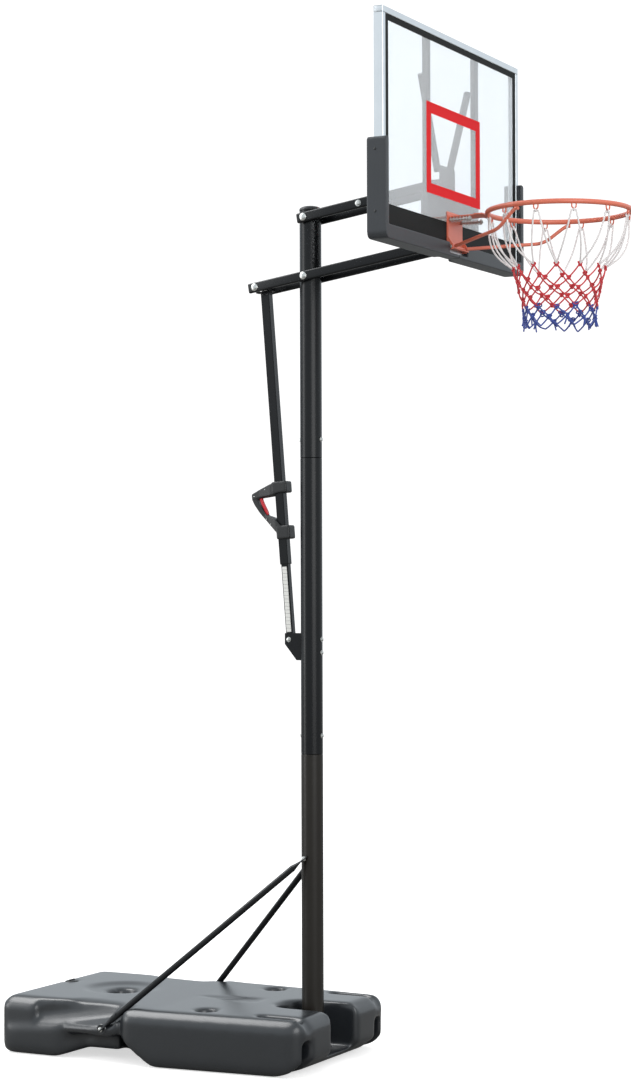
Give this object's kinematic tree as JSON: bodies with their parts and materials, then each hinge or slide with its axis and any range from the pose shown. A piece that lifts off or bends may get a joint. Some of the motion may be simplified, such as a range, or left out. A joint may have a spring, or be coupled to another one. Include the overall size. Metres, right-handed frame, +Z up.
{
  "type": "adjustable basketball stand",
  "caption": "Adjustable basketball stand: a ballast base with wheels, a steel pole, a lever-lifted clear backboard and a sprung breakaway ring with net.",
  "frame": {"origin": "on the floor, under the middle of the pole", "axes": "+Z up the pole, -Y towards the ring, +X across the board"},
  "size_m": [1.15, 2.2552, 3.495],
  "materials": {
    "tank_plastic": "blow-moulded grey polyethylene",
    "black_plastic": "moulded black",
    "pad_plastic": "moulded dark grey",
    "wheel_plastic": "moulded black",
    "red_plastic": "moulded red",
    "white_film": "white film",
    "acrylic": "clear acrylic sheet",
    "frame_aluminium": "satin anodised",
    "black_steel": "black powder coat",
    "orange_steel": "orange powder coat",
    "zinc_steel": "zinc plated",
    "net_cord": "knotted cord"
  },
  "bodies": {
    "stand": {"base_tank": "tank_plastic", "wheel_axle": "zinc_steel", "pole_lower": "black_steel", "pole_middle": "black_steel", "pole_upper": "black_steel", "pole_cap": "black_plastic", "pole_bolt_lower": "zinc_steel", "pole_bolt_upper": "zinc_steel", "base_strut_near": "black_steel", "base_strut_far": "black_steel", "strut_pole_bolt": "zinc_steel", "strut_foot_bolt_near": "zinc_steel", "strut_foot_bolt_far": "zinc_steel", "upper_pole_pivot": "zinc_steel", "lower_pole_pivot": "zinc_steel", "pole_bracket": "black_steel", "bracket_bolt_upper": "zinc_steel", "bracket_bolt_lower": "zinc_steel", "strut_foot_pin": "zinc_steel"},
    "filler_cap": {"filler_cap": "black_plastic"},
    "wheel_near": {"wheel_near": "wheel_plastic"},
    "wheel_far": {"wheel_far": "wheel_plastic"},
    "lower_arms": {"lower_arm_near": "black_steel", "lower_arm_far": "black_steel", "lever_bolt": "zinc_steel"},
    "upper_arms": {"upper_arm_near": "black_steel", "upper_arm_far": "black_steel", "arm_cross_bolt": "zinc_steel"},
    "strut_foot": {"strut_inner": "black_steel", "height_scale": "white_film"},
    "strut_slider": {"strut_outer": "black_steel", "handle": "black_plastic"},
    "trigger": {"trigger": "red_plastic"},
    "brake_rod": {"brake_rod": "zinc_steel"},
    "board": {"frame_top": "frame_aluminium", "frame_bottom": "frame_aluminium", "frame_side_near": "frame_aluminium", "frame_side_far": "frame_aluminium", "backboard_acrylic": "acrylic", "rail_near": "black_steel", "rail_far": "black_steel", "cross_channel": "black_steel", "board_bracket": "black_steel", "board_brace_near": "black_steel", "board_brace_far": "black_steel", "pad_near": "pad_plastic", "pad_far": "pad_plastic", "rim_mount_plate": "orange_steel", "rim_hinge_pin": "zinc_steel", "spring_bolt_near": "zinc_steel", "spring_bolt_far": "zinc_steel", "spring_near": "zinc_steel", "spring_far": "zinc_steel", "upper_board_pivot": "zinc_steel", "lower_board_pivot": "zinc_steel"},
    "rim": {"rim_bracket": "orange_steel", "ring": "orange_steel", "rim_brace_near": "orange_steel", "rim_brace_far": "orange_steel", "net": "net_cord"}
  },
  "joints": [
    {"name": "lift", "type": "hinge", "parent": "stand", "child": "lower_arms", "pos_m": [0, 0, 2.7185], "axis": [-1, 0, 0], "range_deg": [-58, 21.4]},
    {"name": "upper_arm_swing", "type": "hinge", "parent": "stand", "child": "upper_arms", "pos_m": [0, 0, 2.922], "axis": [-1, 0, 0], "range_deg": [-58.2, 21.6]},
    {"name": "board_level", "type": "hinge", "parent": "lower_arms", "child": "board", "pos_m": [0, -0.47448, 2.79111], "axis": [-1, 0, 0], "range_deg": [-21.6, 58.2]},
    {"name": "strut_swing", "type": "hinge", "parent": "stand", "child": "strut_foot", "pos_m": [0, 0.08, 1.46], "axis": [-1, 0, 0], "range_deg": [-1.9, 0.72]},
    {"name": "strut_slide", "type": "slide", "parent": "strut_foot", "child": "strut_slider", "axis": [0, 0.0769, 0.997], "range_m": [-0.0655, 0.1765]},
    {"name": "trigger_squeeze", "type": "hinge", "parent": "strut_slider", "child": "trigger", "pos_m": [0, 0.2005, 1.971], "axis": [1, 0, 0], "range_deg": [0, 4], "stiffness_Nm_per_rad": 3, "springref_deg": -5.73},
    {"name": "brake_pull", "type": "slide", "parent": "strut_slider", "child": "brake_rod", "axis": [0, 0.997, -0.0769], "range_m": [0, 0.0006]},
    {"name": "ring_tip", "type": "hinge", "parent": "board", "child": "rim", "pos_m": [0, -0.557, 2.783], "axis": [1, 0, 0], "range_deg": [0, 20], "stiffness_Nm_per_rad": 400, "springref_deg": -17.19, "deforming": ["spring_near", "spring_far"]},
    {"name": "cap_turn", "type": "hinge", "parent": "stand", "child": "filler_cap", "pos_m": [0.045, 1.015, 0.193], "axis": [0, 0, 1], "range_deg": [0, 90]},
    {"name": "wheel_near_spin", "type": "hinge", "parent": "stand", "child": "wheel_near", "pos_m": [-0.272, 0, 0.053], "axis": [1, 0, 0], "continuous": true},
    {"name": "wheel_far_spin", "type": "hinge", "parent": "stand", "child": "wheel_far", "pos_m": [0.272, 0, 0.053], "axis": [1, 0, 0], "continuous": true}
  ],
  "couplings": [
    {"joint": "upper_arm_swing", "follows": "lift", "ratio": 1},
    {"joint": "board_level", "follows": "lift", "ratio": -1},
    {"joint": "strut_swing", "follows": "lift", "ratio": 0.032},
    {"joint": "strut_slide", "follows": "lift", "m_per_rad": -0.1737},
    {"joint": "brake_pull", "follows": "trigger_squeeze", "m_per_rad": 0.008}
  ]
}
